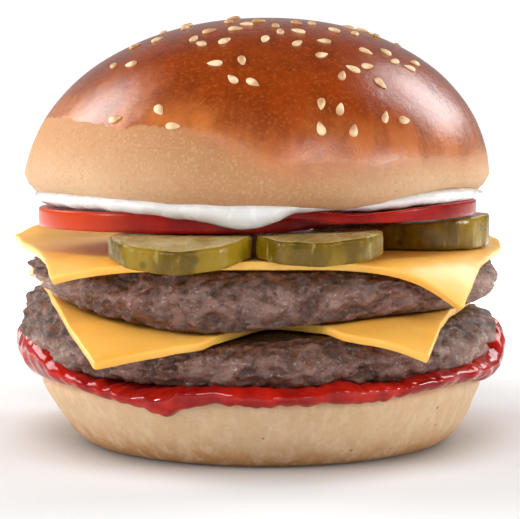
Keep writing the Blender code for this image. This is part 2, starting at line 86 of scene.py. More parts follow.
def smooth_line(points, steps):
    """A Catmull-Rom curve through the points, with so many steps between each two."""
    ends = [points[0], *points, points[-1]]
    line = []
    for a, b, c, d in zip(ends, ends[1:], ends[2:], ends[3:]):
        for step in range(steps):
            t = step / steps
            line.append(tuple(
                q + 0.5 * ((r - p) * t + (2 * p - 5 * q + 4 * r - s) * t**2 + (3 * q - p - 3 * r + s) * t**3)
                for p, q, r, s in zip(a, b, c, d)
            ))
    return [*line, points[-1]]


def disc_profile(radius, bottom, top, edge, rings, power=1.0):
    """From the bottom centre, round a bulging rim of so many rings, to the top centre.

    A power below 1 makes the rim squarer.
    """
    middle, half = (bottom + top) / 2, (top - bottom) / 2
    rim = []
    for ring in range(rings + 1):
        turn = math.pi * (ring / rings - 0.5)
        out = max(0, math.cos(turn)) ** power
        up = math.copysign(abs(math.sin(turn)) ** power, turn)
        rim.append((radius - edge + edge * out, middle + half * up))
    return [(0, bottom), *rim, (0, top)]


def piece(name, mesh, looks):
    """A shown piece with its materials, which rides on the burger."""
    for look in looks:
        mesh.materials.append(look)
    obj = bpy.data.objects.new(name, mesh)
    bpy.context.scene.collection.objects.link(obj)
    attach(obj, "root")
    return obj


def turned(name, profile, segments, shape):
    """A closed mesh swept round Z from a profile of (radius, height).

    shape(angle, radius, height) places each point.
    """
    points, rings = [], []
    for radius, height in profile:
        count = segments if radius > 0 else 1
        rings.append((len(points), count))
        points += [shape(360 * i / count, radius, height) for i in range(count)]
    faces = []
    for (low, low_count), (high, high_count) in zip(rings, rings[1:]):
        for i in range(segments):
            j = (i + 1) % segments
            if low_count == 1:
                faces.append((low, high + j, high + i))
            elif high_count == 1:
                faces.append((low + i, low + j, high))
            else:
                faces.append((low + i, low + j, high + j, high + i))
    mesh = bpy.data.meshes.new(name)
    mesh.from_pydata([tuple(p) for p in points], [], faces)
    mesh.shade_smooth()
    return mesh


# Heights of the stack, as in the CAD part
GAP = 0.3 * MM
BOTTOM_BUN_TOP = 14.6 * MM
KETCHUP_THICKNESS = 1.6 * MM
LOWER_PATTY_THICKNESS = 9.7 * MM
UPPER_PATTY_THICKNESS = 10.3 * MM
CHEESE_THICKNESS = 1.7 * MM
CHEESE_CELLS = 110  # along each side
PICKLE_THICKNESS = 4.4 * MM
TOMATO_THICKNESS = 3.9 * MM
KETCHUP_BOTTOM = BOTTOM_BUN_TOP + GAP
LOWER_PATTY_BOTTOM = KETCHUP_BOTTOM + KETCHUP_THICKNESS + GAP
LOWER_CHEESE_BOTTOM = LOWER_PATTY_BOTTOM + LOWER_PATTY_THICKNESS + 1.4 * GAP
UPPER_PATTY_BOTTOM = LOWER_CHEESE_BOTTOM + CHEESE_THICKNESS + 1.2 * GAP
UPPER_CHEESE_BOTTOM = UPPER_PATTY_BOTTOM + UPPER_PATTY_THICKNESS + GAP
PICKLE_BOTTOM = UPPER_CHEESE_BOTTOM + CHEESE_THICKNESS + GAP
TOMATO_BOTTOM = PICKLE_BOTTOM + PICKLE_THICKNESS + GAP

# The bottom bun's side: radius and height in mm
BOTTOM_BUN_SIDE = (
    (37.4, 0), (39.6, 0.8), (41.8, 2.9), (43.9, 6.0), (45.7, 9.3), (47.4, 12.8), (47.0, 14.6),
)
BOTTOM_BUN_SHIFT = 1.2 * MM  # how far its base lies to the right of its rim

KETCHUP_INNER = 44.0 * MM  # where the layer ends and its bead begins
BEAD_INNER = 48.0 * MM
BEAD_FOOT = 14.8 * MM
MAYO_INNER = 38.0 * MM
MAYO_BOTTOM = 51.2 * MM
MAYO_TOP = 54.6 * MM
MAYO_BEAD = 3.4 * MM
GLAZE_EDGE = 68.7 * MM  # how high the glaze begins at the left

BUN_RADIUS = 50.0 * MM
TOP_BUN_WIDEST = 53.0 * MM
TOP_BUN_CREST = 89.9 * MM
TOP_BUN_LEAN = 2.2 * MM
DOME_POWER = 2.11
PATTY_RADIUS = 49.6 * MM
PATTY_EDGE = 4.6 * MM
PATTY_RELIEF = 1.2 * MM
CRAG = 5.5 * MM
DRAPE_START = 46.9 * MM
DRAPE_REACH = 12.6 * MM
BEND_START = 45.6 * MM
BEND_REACH = 9.9 * MM

# How far the layers between the two patties stand up at the patties' rim: angle and mm
SIDE_LIFT = (
    (-180, 1.0), (-125, 2.5), (-95, 5.6), (-76, 5.2), (-60, 2.6), (-44, 0.5), (-20, -1.5),
    (-8, -1.5), (5, -0.5), (17, 0.2), (30, 1.0), (60, 1.2), (90, 1.5), (135, 1.2),
)
# What share of that lift is reached at a distance in mm from the stack's axis
LIFT_SHARES = ((26, 0.0), (34, 0.3), (45, 1.0), (52, 1.45))

# The ketchup squeezed out under the lower patty: angle, lowest and highest mm, radius in mm
KETCHUP_EDGE = (
    (-150, 13.6, 17.4, 51.0), (-118, 14.6, 22.0, 51.6), (-92, 15.6, 26.4, 52.2), (-75, 15.8, 25.0, 52.0),
    (-62, 15.9, 22.4, 51.6), (-50, 15.3, 18.4, 51.2), (-36, 13.4, 16.8, 51.0), (-27, 12.4, 16.4, 51.2),
    (-21.5, 11.3, 17.0, 51.4), (-16, 13.2, 17.4, 51.0), (-8, 13.9, 17.6, 50.8), (0, 13.4, 17.4, 51.0),
    (10, 13.8, 17.2, 51.2), (19, 13.7, 18.2, 51.2), (30, 13.8, 17.2, 50.8), (42, 15.0, 18.5, 51.2),
    (60, 15.4, 18.8, 51.6), (72, 14.0, 19.6, 51.8), (84, 15.4, 26.0, 52.6), (104, 15.4, 24.5, 52.0),
    (130, 14.0, 18.6, 51.2), (165, 12.6, 17.2, 51.4),
)
# The mayonnaise squeezed out over the tomato: angle, lowest and highest mm, radius in mm
MAYO_EDGE = (
    (-180, 51.0, 53.2, 46.4), (-120, 50.9, 53.4, 46.6), (-88, 50.9, 53.8, 47.6), (-75, 50.8, 53.8, 48.6),
    (-58, 50.6, 53.8, 49.8), (-37, 50.2, 53.6, 49.3), (-16, 48.7, 53.2, 48.2), (-5, 47.2, 53.0, 48.2),
    (2, 48.0, 53.0, 47.9), (9, 50.2, 53.0, 46.9), (18, 50.6, 53.0, 46.5), (28, 50.3, 53.0, 46.6),
    (36, 50.9, 53.8, 48.2), (46, 51.4, 54.3, 49.9), (60, 51.8, 54.5, 49.8), (74, 52.1, 54.0, 48.4),
    (95, 51.6, 53.4, 46.6), (140, 50.4, 53.0, 47.0),
)


def rim_values(points, angle):
    """The values at an angle of a smooth closed line through points of (angle, value, ...)."""
    angle = (angle + 180) % 360 - 180
    count = len(points)
    after = next((i for i, point in enumerate(points) if point[0] > angle), count)
    near = [
        (points[i % count][0] + 360 * (i // count), *points[i % count][1:])
        for i in range(after - 2, after + 2)
    ]
    before, start, end, beyond = (point[0] for point in near)
    span = end - start
    t = (angle - start) / span
    values = []
    for p, q, r, s in zip(*(point[1:] for point in near)):
        leave, arrive = span * (r - p) / (end - before), span * (s - q) / (beyond - start)
        bend = 3 * (r - q) - 2 * leave - arrive
        twist = 2 * (q - r) + leave + arrive
        values.append(q + t * (leave + t * (bend + t * twist)))
    return values


def side_lift(x, y):
    """How far the layers between the patties stand up at a place."""
    radius = math.hypot(x, y) / MM
    share = 0
    for (near, low), (far, high) in zip(LIFT_SHARES, LIFT_SHARES[1:]):
        share += (high - low) * min(1, max(0, (radius - near) / (far - near)))
    return MM * share * rim_values(SIDE_LIFT, math.degrees(math.atan2(x, -y)))[0]


class Look:
    """A node material with a Principled shader, built from procedural textures in the row frame."""

    def __init__(self, name, **values):
        self.material = bpy.data.materials.new(name)
        self.material.use_nodes = True
        self.tree = self.material.node_tree
        self.shader = self.tree.nodes["Principled BSDF"]
        place = self.node("TexCoord")
        self.place = place.outputs["Object"]
        split = self.node("SeparateXYZ", Vector=self.place)
        self.x, self.y, self.z = split.outputs
        for socket, value in values.items():
            self.set(socket, value)

    def node(self, kind, settings=None, **inputs):
        made = self.tree.nodes.new("ShaderNode" + kind)
        for key, value in (settings or {}).items():
            setattr(made, key, value)
        for key, value in inputs.items():
            self.feed(made.inputs[key.replace("_", " ")], value)
        return made

    def feed(self, socket, value):
        if isinstance(value, bpy.types.NodeSocket):
            self.tree.links.new(value, socket)
        elif isinstance(value, tuple) and len(value) == 3 and socket.type == "RGBA":
            socket.default_value = (*value, 1)
        else:
            socket.default_value = value

    def set(self, socket, value):
        self.feed(self.shader.inputs[socket.replace("_", " ")], value)

    def stretched(self, scale, shift=(0, 0, 0)):
        return self.node("Mapping", Vector=self.place, Scale=scale, Location=shift).outputs[0]

    def noise(self, size, detail=3.0, rough=0.55, stretch=None, shift=(0, 0, 0), distortion=0.0):
        """Noise about 0.5 with lumps of a size in mm."""
        vector = self.stretched(stretch or (1, 1, 1), shift)
        made = self.node("TexNoise", Vector=vector, Scale=1000 / size, Detail=detail, Roughness=rough,
                         Distortion=distortion)
        return made.outputs[0]

    def cells(self, size, shift):
        """Distance from the middles of scattered cells of a size in mm."""
        vector = self.stretched((1, 1, 1), shift)
        return self.node("TexVoronoi", Vector=vector, Scale=1000 / size).outputs["Distance"]

    def sum(self, a, b, factor=1.0):
        """a and a share of b."""
        return self.calc("ADD", a, self.calc("MULTIPLY", b, factor))

    def calc(self, operation, a, b=0.0):
        made = self.node("Math", {"operation": operation})
        self.feed(made.inputs[0], a)
        self.feed(made.inputs[1], b)
        return made.outputs[0]

    def remap(self, value, low, high, to_low=0.0, to_high=1.0):
        """Runs smoothly from to_low to to_high as the value runs from low to high."""
        made = self.node("MapRange", {"interpolation_type": "SMOOTHSTEP"}, Value=value)
        limits = (("From Min", low), ("From Max", high), ("To Min", to_low), ("To Max", to_high))
        for socket, number in limits:
            made.inputs[socket].default_value = number
        return made.outputs[0]

    def mix(self, share, a, b):
        """Colour a, with a share of colour b."""
        made = self.node("Mix", {"data_type": "RGBA"})
        self.feed(made.inputs[0], share)
        self.feed(made.inputs[6], a)
        self.feed(made.inputs[7], b)
        return made.outputs[2]

    def bump(self, height, distance, strength=1.0, after=None):
        """Adds a bump whose height runs over a distance in mm."""
        made = self.node("Bump", Height=height, Distance=distance * MM, Strength=strength)
        if after:
            self.feed(made.inputs["Normal"], after)
        self.set("Normal", made.outputs[0])
        return made.outputs[0]


def crust_look():
    """Egg glaze above an uneven edge and soft pale bread below it.

    The edge is sharp on the left, and lies lower and fades out in the middle.
    """
    look = Look("crust_look", Subsurface_Weight=0.06, Subsurface_Scale=0.002)
    fine = look.calc("SUBTRACT", look.noise(2.4, 5, 0.68), 0.5)
    broad = look.calc("SUBTRACT", look.noise(20, 3), 0.5)
    edge = look.sum(GLAZE_EDGE, look.remap(look.x, -0.045, -0.016, 0, -0.0026))
    edge = look.sum(edge, look.remap(look.x, -0.018, 0.008, 0, -0.0076))
    edge = look.sum(edge, look.remap(look.x, 0.012, 0.048, 0, 0.0020))
    above = look.calc("SUBTRACT", look.z, edge)
    above = look.sum(look.sum(above, broad, 0.006), fine, 0.0028)
    width = look.remap(look.x, -0.022, -0.004, 0.0007, 0.0075)
    width = look.sum(width, look.remap(look.x, 0.006, 0.030, 0, -0.0008))
    glaze = look.remap(look.calc("DIVIDE", above, width), -0.5, 0.6)
    rise = look.remap(look.sum(above, look.calc("SUBTRACT", look.noise(12, 4), 0.5), 0.012), 0.0005, 0.0125)
    brown = look.mix(rise, (0.50, 0.145, 0.032), (0.275, 0.038, 0.0018))
    streak = look.remap(look.noise(7, 5, 0.62, (1, 1, 0.45)), 0.40, 0.66)
    brown = look.mix(look.calc("MULTIPLY", streak, 0.60), brown, (0.150, 0.020, 0.002))
    mottle = look.remap(look.noise(0.8, 5, 0.72), 0.50, 0.66)
    brown = look.mix(look.calc("MULTIPLY", mottle, 0.30), brown, (0.52, 0.165, 0.035))
    pale = look.remap(look.sum(look.z, look.calc("SUBTRACT", look.noise(8, 4), 0.5), 0.010), 0.0515, 0.0670)
    bread = look.mix(pale, (0.58, 0.380, 0.225), (0.48, 0.240, 0.110))
    # Painted shade: the bread is painted darker towards the middle of the front and the back.
    middle = look.remap(look.calc("ABSOLUTE", look.x), 0.036, 0.006)
    bread = look.mix(look.calc("MULTIPLY", middle, 0.75), bread, (0.37, 0.160, 0.060))
    speck = look.remap(look.noise(0.65, 4, 0.75), 0.51, 0.64)
    bread = look.mix(look.calc("MULTIPLY", speck, 0.22), bread, (0.76, 0.53, 0.32))
    dark = look.remap(look.noise(0.9, 4, 0.75, None, (2, 5, 1)), 0.53, 0.68)
    bread = look.mix(look.calc("MULTIPLY", dark, 0.36), bread, (0.36, 0.135, 0.040))
    look.set("Base Color", look.mix(glaze, bread, brown))
    look.set("Roughness", look.sum(look.remap(glaze, 0.0, 1.0, 0.80, 0.12), fine, 0.10))
    look.set("Specular IOR Level", look.remap(glaze, 0.0, 1.0, 0.25, 0.62))
    bumped = look.bump(look.noise(9, 4, 0.6, (1, 1, 0.5)), 0.30, 0.5)
    bumped = look.bump(look.noise(2.2, 4, 0.6, (1, 1, 1.6)), 0.09, 0.6, bumped)
    look.bump(look.noise(0.7, 5, 0.75), 0.075, 0.9, bumped)
    return look.material


def bread_look():
    """The pale bottom bun with soft upright wrinkles, painted darker and browner towards its base as contact
    shade.
    """
    look = Look("bread_look", Roughness=0.74, Subsurface_Weight=0.08, Subsurface_Scale=0.002)
    look.set("Specular IOR Level", 0.3)
    # Painted shade: the crumb turns darker and browner towards the base, where the bun meets the floor.
    level = look.sum(look.z, look.calc("SUBTRACT", look.noise(14, 4, 0.6), 0.5), 0.009)
    pale = look.remap(level, 0.0000, 0.0075)
    crumb = look.mix(pale, (0.50, 0.250, 0.090), (0.66, 0.445, 0.260))
    mottled = look.remap(look.noise(2.6, 5, 0.68, (1, 1, 0.4)), 0.42, 0.66)
    crumb = look.mix(look.calc("MULTIPLY", mottled, 0.50), crumb, (0.78, 0.60, 0.42))
    grain = look.remap(look.noise(0.9, 4, 0.7), 0.54, 0.70)
    crumb = look.mix(look.calc("MULTIPLY", grain, 0.30), crumb, (0.47, 0.26, 0.110))
    specks = look.remap(look.cells(6.5, (3, 1, 2)), 0.075, 0.03)
    crumb = look.mix(look.calc("MULTIPLY", specks, 0.75), crumb, (0.24, 0.085, 0.025))
    look.set("Base Color", crumb)
    bumped = look.bump(look.noise(3.0, 4, 0.6, (1, 1, 0.25)), 0.26, 0.7)
    look.bump(look.noise(0.8, 4, 0.7), 0.07, 0.7, bumped)
    return look.material


def meat_look(name, bottom, top, shift):
    """Ground meat: lilac-grey strands with pale fat, and painted light that makes it paler at the sides.

    Its upper and lower edges have a brown fried crust.
    """
    look = Look(name, Subsurface_Weight=0.04, Subsurface_Scale=0.0012)
    look.set("Specular IOR Level", 0.6)
    crumbs = look.noise(2.8, 6, 0.68, (1, 1, 1.5), shift, 1.4)
    lumps = look.noise(6.5, 4, 0.6, (1, 1, 1.3), shift, 0.8)
    colour = look.mix(look.remap(crumbs, 0.40, 0.58), (0.046, 0.016, 0.009), (0.175, 0.070, 0.045))
    colour = look.mix(look.remap(lumps, 0.44, 0.60, 0, 0.70), colour, (0.300, 0.165, 0.135))
    # Painted light: the meat is painted paler towards the left and the right sides.
    outer = look.remap(look.calc("ABSOLUTE", look.x), 0.030, 0.047, 0, 0.58)
    colour = look.mix(outer, colour, (0.50, 0.325, 0.26))
    fat = look.remap(look.noise(1.1, 5, 0.62, (1, 1, 1.6), (5, 2, 1)), 0.58, 0.68)
    colour = look.mix(look.calc("MULTIPLY", fat, 0.65), colour, (0.60, 0.44, 0.37))
    dark = look.remap(look.noise(2.0, 5, 0.65, (1, 1, 1.7), (9, 4, 2), 1.0), 0.55, 0.68)
    colour = look.mix(look.calc("MULTIPLY", dark, 0.70), colour, (0.045, 0.015, 0.008))
    wavy = look.sum(look.z, look.calc("SUBTRACT", look.noise(5, 5, 0.65, None, shift), 0.5), 0.0065)
    upper = look.remap(wavy, top - 0.0040, top - 0.0018)
    lower = look.remap(wavy, bottom + 0.0030, bottom + 0.0010)
    brown = look.remap(look.noise(2.2, 5, 0.65, (1, 1, 1.8)), 0.42, 0.60)
    crust = look.mix(brown, (0.034, 0.011, 0.005), (0.190, 0.068, 0.032))
    colour = look.mix(look.calc("MULTIPLY", upper, 0.88), colour, crust)
    colour = look.mix(look.calc("MULTIPLY", lower, 0.62), colour, crust)
    look.set("Base Color", colour)
    wet = look.noise(1.8, 3, 0.6, None, (1, 7, 3))
    look.set("Roughness", look.remap(wet, 0.42, 0.58, 0.17, 0.58))
    bumped = look.bump(lumps, 0.50, 0.5)
    bumped = look.bump(crumbs, 0.60, 0.9, bumped)
    look.bump(look.noise(0.7, 5, 0.68, (1, 1, 1.6)), 0.16, 0.9, bumped)
    return look.material


def cheese_look():
    look = Look("cheese_look", Roughness=0.34, Subsurface_Weight=0.28, Subsurface_Scale=0.004)
    cloudy = look.noise(14, 4, 0.5)
    colour = look.mix(look.remap(cloudy, 0.35, 0.68), (0.92, 0.450, 0.066), (0.95, 0.520, 0.105))
    pale = look.remap(look.noise(4, 4, 0.6), 0.58, 0.75)
    look.set("Base Color", look.mix(look.calc("MULTIPLY", pale, 0.30), colour, (0.96, 0.66, 0.26)))
    look.set("Subsurface Radius", (1.0, 0.55, 0.15))
    bumped = look.bump(look.noise(7, 3), 0.32, 0.6)
    look.bump(look.noise(0.8, 3, 0.6), 0.03, 0.5, bumped)
    return look.material


def pickle_skin_look():
    """Glossy olive skin with a few dark warts and pale upright streaks."""
    look = Look("pickle_skin_look", Subsurface_Weight=0.08, Subsurface_Scale=0.002)
    look.set("Specular IOR Level", 0.24)
    bands = look.noise(6, 3, 0.5, (1, 1, 0.35))
    colour = look.mix(look.remap(bands, 0.36, 0.62), (0.115, 0.066, 0.001), (0.270, 0.165, 0.004))
    streaks = look.remap(look.noise(1.9, 3, 0.55, (1, 1, 0.22), (2, 8, 0)), 0.60, 0.70)
    colour = look.mix(look.calc("MULTIPLY", streaks, 0.45), colour, (0.46, 0.36, 0.11))
    warts = look.remap(look.cells(4.6, (4, 4, 4)), 0.25, 0.10)
    look.set("Base Color", look.mix(look.calc("MULTIPLY", warts, 0.60), colour, (0.050, 0.042, 0.003)))
    look.set("Roughness", look.remap(look.noise(3, 3), 0.35, 0.65, 0.14, 0.34))
    bumped = look.bump(look.noise(4.0, 3, 0.5, (1, 1, 0.6)), 0.50, 0.7)
    look.bump(look.noise(1.1, 3, 0.5), 0.06, 0.6, bumped)
    return look.material


def pickle_flesh_look():
    """The wet, see-through cut face, paler in soft patches."""
    look = Look("pickle_flesh_look", Subsurface_Weight=0.25, Subsurface_Scale=0.003)
    look.set("Specular IOR Level", 0.4)
    cloudy = look.remap(look.noise(6, 3, 0.5), 0.36, 0.64)
    colour = look.mix(cloudy, (0.330, 0.225, 0.065), (0.46, 0.345, 0.145))
    pips = look.remap(look.noise(2.2, 3, 0.5, None, (3, 1, 6)), 0.58, 0.70)
    look.set("Base Color", look.mix(look.calc("MULTIPLY", pips, 0.40), colour, (0.58, 0.47, 0.25)))
    look.set("Roughness", look.remap(look.noise(2.5, 3), 0.35, 0.65, 0.16, 0.34))
    look.bump(look.noise(3.5, 3, 0.5), 0.14, 0.6)
    return look.material


def tomato_skin_look():
    """Smooth red skin and wall, with painted light that makes it brighter towards the left end."""
    look = Look("tomato_skin_look", Roughness=0.24, Subsurface_Weight=0.08, Subsurface_Scale=0.002)
    look.set("Specular IOR Level", 0.14)
    # Painted light: the skin is painted brighter and more orange towards the left end.
    left = look.remap(look.x, -0.016, -0.043)
    cloudy = look.noise(8, 4, 0.55, (1, 1, 0.6))
    colour = look.mix(look.remap(cloudy, 0.35, 0.66), (0.20, 0.001, 0.0005), (0.32, 0.006, 0.001))
    colour = look.mix(look.calc("MULTIPLY", left, 0.8), colour, (0.55, 0.050, 0.004))
    flecks = look.remap(look.noise(1.1, 4, 0.6, (1, 1, 0.5)), 0.60, 0.74)
    look.set("Base Color", look.mix(look.calc("MULTIPLY", flecks, 0.12), colour, (0.70, 0.14, 0.05)))
    look.set("Subsurface Radius", (1.0, 0.25, 0.1))
    look.bump(look.noise(2.5, 4), 0.08, 0.5)
    return look.material


def tomato_flesh_look():
    look = Look("tomato_flesh_look", Subsurface_Weight=0.15, Subsurface_Scale=0.003)
    look.set("Specular IOR Level", 0.35)
    cloudy = look.noise(7, 4, 0.6)
    colour = look.mix(look.remap(cloudy, 0.38, 0.62), (0.40, 0.014, 0.006), (0.60, 0.070, 0.028))
    pale = look.remap(look.noise(3, 4, 0.6, None, (2, 3, 4)), 0.58, 0.72)
    look.set("Base Color", look.mix(look.calc("MULTIPLY", pale, 0.4), colour, (0.80, 0.30, 0.16)))
    look.set("Roughness", look.remap(look.noise(2, 3), 0.35, 0.65, 0.12, 0.30))
    bumped = look.bump(look.noise(3.5, 4), 0.30, 0.7)
    look.bump(look.noise(0.9, 3), 0.06, 0.6, bumped)
    return look.material


def mayonnaise_look():
    look = Look("mayonnaise_look", Subsurface_Weight=0.30, Subsurface_Scale=0.002)
    cloudy = look.noise(6, 3, 0.5)
    look.set("Base Color", look.mix(look.remap(cloudy, 0.3, 0.7), (0.62, 0.605, 0.59), (0.70, 0.69, 0.685)))
    look.set("Roughness", look.remap(look.noise(3, 3), 0.35, 0.65, 0.16, 0.30))
    look.set("Subsurface Radius", (1.0, 0.85, 0.7))
    look.bump(look.noise(5, 2), 0.30, 0.5)
    return look.material


def ketchup_look():
    """Thick, smooth and wet."""
    look = Look("ketchup_look", Subsurface_Weight=0.06, Subsurface_Scale=0.0015)
    cloudy = look.remap(look.noise(5, 3, 0.55), 0.35, 0.68)
    look.set("Base Color", look.mix(cloudy, (0.26, 0.0030, 0.0015), (0.47, 0.010, 0.003)))
    look.set("Roughness", look.remap(look.noise(2.5, 3), 0.35, 0.65, 0.06, 0.15))
    look.set("Specular IOR Level", 0.34)
    look.bump(look.noise(5.0, 2, 0.5), 0.45, 0.6)
    return look.material


def seed_look():
    look = Look("seed_look", Subsurface_Weight=0.15, Subsurface_Scale=0.001)
    each = look.noise(3.2, 1, 0.5)
    colour = look.mix(look.remap(each, 0.36, 0.64), (0.52, 0.28, 0.115), (0.84, 0.63, 0.37))
    toast = look.remap(look.noise(1.4, 3, 0.6, None, (7, 1, 3)), 0.55, 0.72)
    look.set("Base Color", look.mix(look.calc("MULTIPLY", toast, 0.40), colour, (0.50, 0.24, 0.08)))
    look.set("Roughness", look.remap(look.noise(1, 2), 0.35, 0.65, 0.28, 0.48))
    look.bump(look.noise(0.5, 3), 0.05, 0.6)
    return look.material


def bottom_bun():
    """A flat base and a side that widens upwards, with soft folds in it."""
    side = smooth_line([(radius * MM, height * MM) for radius, height in BOTTOM_BUN_SIDE], 7)
    profile = [(0, 0), (30 * MM, 0), *side, (40 * MM, BOTTOM_BUN_TOP), (0, BOTTOM_BUN_TOP)]

    def uneven(angle, radius, height):
        share = eased(height / BOTTOM_BUN_TOP)
        place = polar(angle, radius * (1 + 0.008 * share * around(angle, 1.3, 4.0)), height)
        fold = fbm(Vector((place.x, place.y, 0.3 * place.z)), 5 * MM, 2.0)
        soft = eased(height / (3 * MM)) * eased((radius - 38 * MM) / (4 * MM))
        place += polar(angle, 0.28 * MM * soft * fold, 0)
        place.x += BOTTOM_BUN_SHIFT * (1 - share)
        return place

    made = piece("bottom_bun_look", turned("bottom_bun_look", profile, 300, uneven), [bread_look()])
    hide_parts("bottom_bun")


def patty(node, bottom, thickness, shift, seed, lifts):
    """A craggy disc. lifts: what share of the side's lift its lower and its upper face take."""
    top = bottom + thickness
    rim = disc_profile(PATTY_RADIUS, bottom, top, PATTY_EDGE, 44)
    profile = [rim[0], (30 * MM, bottom), (40 * MM, bottom), (43 * MM, bottom), *rim[1:-1],
               (43 * MM, top), (40 * MM, top), (30 * MM, top), rim[-1]]

    def craggy(angle, radius, height):
        place = polar(angle, radius, height)
        side = eased((radius - PATTY_RADIUS + PATTY_EDGE) / PATTY_EDGE)
        spot = Vector((place.x, place.y, 1.3 * place.z)) / CRAG + Vector((seed, seed, seed))
        relief = PATTY_RELIEF * side * 1.5 * (noise.noise(spot) + 0.5 * noise.noise(2.3 * spot))
        fine = eased((radius - 42 * MM) / (4 * MM))
        if fine:
            strand = Vector((place.x, place.y, 1.5 * place.z))
            crumb = 0.9 * (ridged(strand, 5.2 * MM, seed) - 0.5) + 0.9 * fbm(strand, 2.6 * MM, seed, 4)
            relief += MM * fine * crumb
            place.z += 0.20 * MM * fine * fbm(place, 2.2 * MM, seed + 3, 2)
        place += polar(angle, relief + 0.6 * MM * side * around(angle, 1.4, seed), 0)
        place.x += shift
        share = (height - bottom) / thickness
        place.z += side_lift(place.x, place.y) * (lifts[0] * (1 - share) + lifts[1] * share)
        return place

    look = meat_look(node + "_meat", bottom, top, (seed, 0, seed))
    made = piece(node + "_look", turned(node + "_look", profile, 720, craggy), [look])
    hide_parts(node)


def sauce_layer(inner, rings):
    """The outline of a flat layer and the bead round it, as (radius, share of the height).

    In the bead the radius runs from 0.5 to 1, which says how far out in it a point lies.
    """
    bead = disc_profile(1.0, 0.0, 1.0, 0.5, rings)[1:-1]
    return ((0, 0), (inner, 0), *bead, (inner, 1), (0, 1))


def ketchup():
    """A thin layer on the bottom bun with the bead that comes out round the lower patty."""

    def squeezed(angle, radius, share):
        if radius <= KETCHUP_INNER:
            return polar(angle, radius, KETCHUP_BOTTOM - GAP + share * (KETCHUP_THICKNESS + 2 * GAP))
        bottom, top, outer = (value * MM for value in rim_values(KETCHUP_EDGE, angle))
        bottom += 0.40 * MM * around(angle, 20, 3.0)
        top += 0.35 * MM * around(angle, 24, 6.0)
        inwards = 2 * (1 - radius)
        reach = outer - inwards * (outer - BEAD_INNER)
        low = bottom * (1 - inwards) + min(bottom, BEAD_FOOT) * inwards
        place = polar(angle, reach, low + share * (top - low))
        swell = 0.9 * fbm(place, 7.0 * MM, 4.0, 2) + 0.35 * around(angle, 9, 12.0)
        return place + polar(angle, MM * swell * (1 - inwards), 0)

    layer = sauce_layer(KETCHUP_INNER, 30)
    made = piece("ketchup_look", turned("ketchup_look", layer, 900, squeezed), [ketchup_look()])
    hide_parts("ketchup")


def cheese(node, look, bottom, corners, drops, bows, bend, curl, notch, lift):
    """A square slice whose corners hang down past the patty below it, with its sizes in mm.

    corners and drops: where the corners lie and how far they hang down, from the front left one round
    bows: how far the left, right, front and back edges bulge
    bend: the power with which the drop grows outwards
    curl: how far the back turns up near its corners
    notch: how far the front edge steps back near its middle
    lift: the share of the side's lift that it takes
    """
    count = CHEESE_CELLS
    front_left, front_right, back_right, back_left = (Vector(corner) * MM for corner in corners)
    left_bow, right_bow, front_bow, back_bow = (bow * MM for bow in bows)

    def place(u, v):
        s, t = (u + 1) / 2, (v + 1) / 2
        flat = (front_left * (1 - s) + front_right * s) * (1 - t) + (back_left * (1 - s) + back_right * s) * t
        flat.x += (right_bow * s - left_bow * (1 - s)) * (1 - v * v)
        flat.y += (front_bow * (1 - t) * -1 + back_bow * t) * (1 - u * u)
        flat.y += notch * MM * eased(1 - abs(u - 0.08) / 0.45) * (1 - t) ** 2
        across, along = eased(s), eased(t)
        drop = (drops[0] * (1 - across) + drops[1] * across) * (1 - along)
        drop += (drops[3] * (1 - across) + drops[2] * across) * along
        out = max(0, (flat.length - DRAPE_START) / DRAPE_REACH)
        inwards = 1 - abs(u)
        raised = curl * eased((v - 0.4) / 0.6) * eased(inwards / 0.1) * eased((0.7 - inwards) / 0.5)
        raised *= min(1, out)
        edge = Vector((flat.x, flat.y, 0))
        near_edge = eased((max(abs(u), abs(v)) - 0.9) / 0.1)
        flat.x += 0.25 * MM * near_edge * fbm(edge, 6 * MM, bottom * 1000)
        flat.y += 0.25 * MM * near_edge * fbm(edge, 6 * MM, bottom * 900)
        wave = 0.22 * eased(out * 3) * fbm(edge, 9 * MM, bottom * 800, 2)
        height = bottom - (drop * min(1.1, out) ** bend - raised - wave) * MM
        return Vector((flat.x, flat.y, height + lift * side_lift(flat.x, flat.y)))

    points = [place(2 * i / count - 1, 2 * j / count - 1) for j in range(count + 1) for i in range(count + 1)]
    row = count + 1
    faces = [(j * row + i, j * row + i + 1, (j + 1) * row + i + 1, (j + 1) * row + i)
             for j in range(count) for i in range(count)]
    mesh = bpy.data.meshes.new(node + "_look")
    mesh.from_pydata([tuple(p) for p in points], [], faces)
    mesh.shade_smooth()
    made = piece(node + "_look", mesh, [look])
    thick = made.modifiers.new("thickness", "SOLIDIFY")
    thick.thickness = CHEESE_THICKNESS
    thick.offset = 1
    soft = made.modifiers.new("soft_edge", "BEVEL")
    soft.width = 0.35 * MM
    soft.segments = 3
    soft.limit_method = "ANGLE"
    soft.angle_limit = math.radians(50)
    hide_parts(node)


def two_looks(mesh, is_face, looks):
    """Gives the faces that is_face(polygon) picks the second look."""
    for look in looks:
        mesh.materials.append(look)
    for polygon in mesh.polygons:
        polygon.material_index = 1 if is_face(polygon) else 0


# Pickle slices: name, centre x and y, radius, lift and wedge at the right end, bend at the front, in mm
PICKLES = (
    ("pickle_left", -15.5, -42.0, 13.6, 0.0, 0.0, 2.4),
    ("pickle_middle", 11.4, -41.2, 12.3, 0.6, 0.3, 1.7),
    ("pickle_right", 34.7, -7.0, 13.6, 0.0, 2.6, 0.0),
    ("pickle_back_right", 25.2, 22.0, 13.0, 0.0, 0.0, 0.0),
    ("pickle_back_left", -12.5, 35.5, 13.0, 0.0, 0.0, 0.0),
)


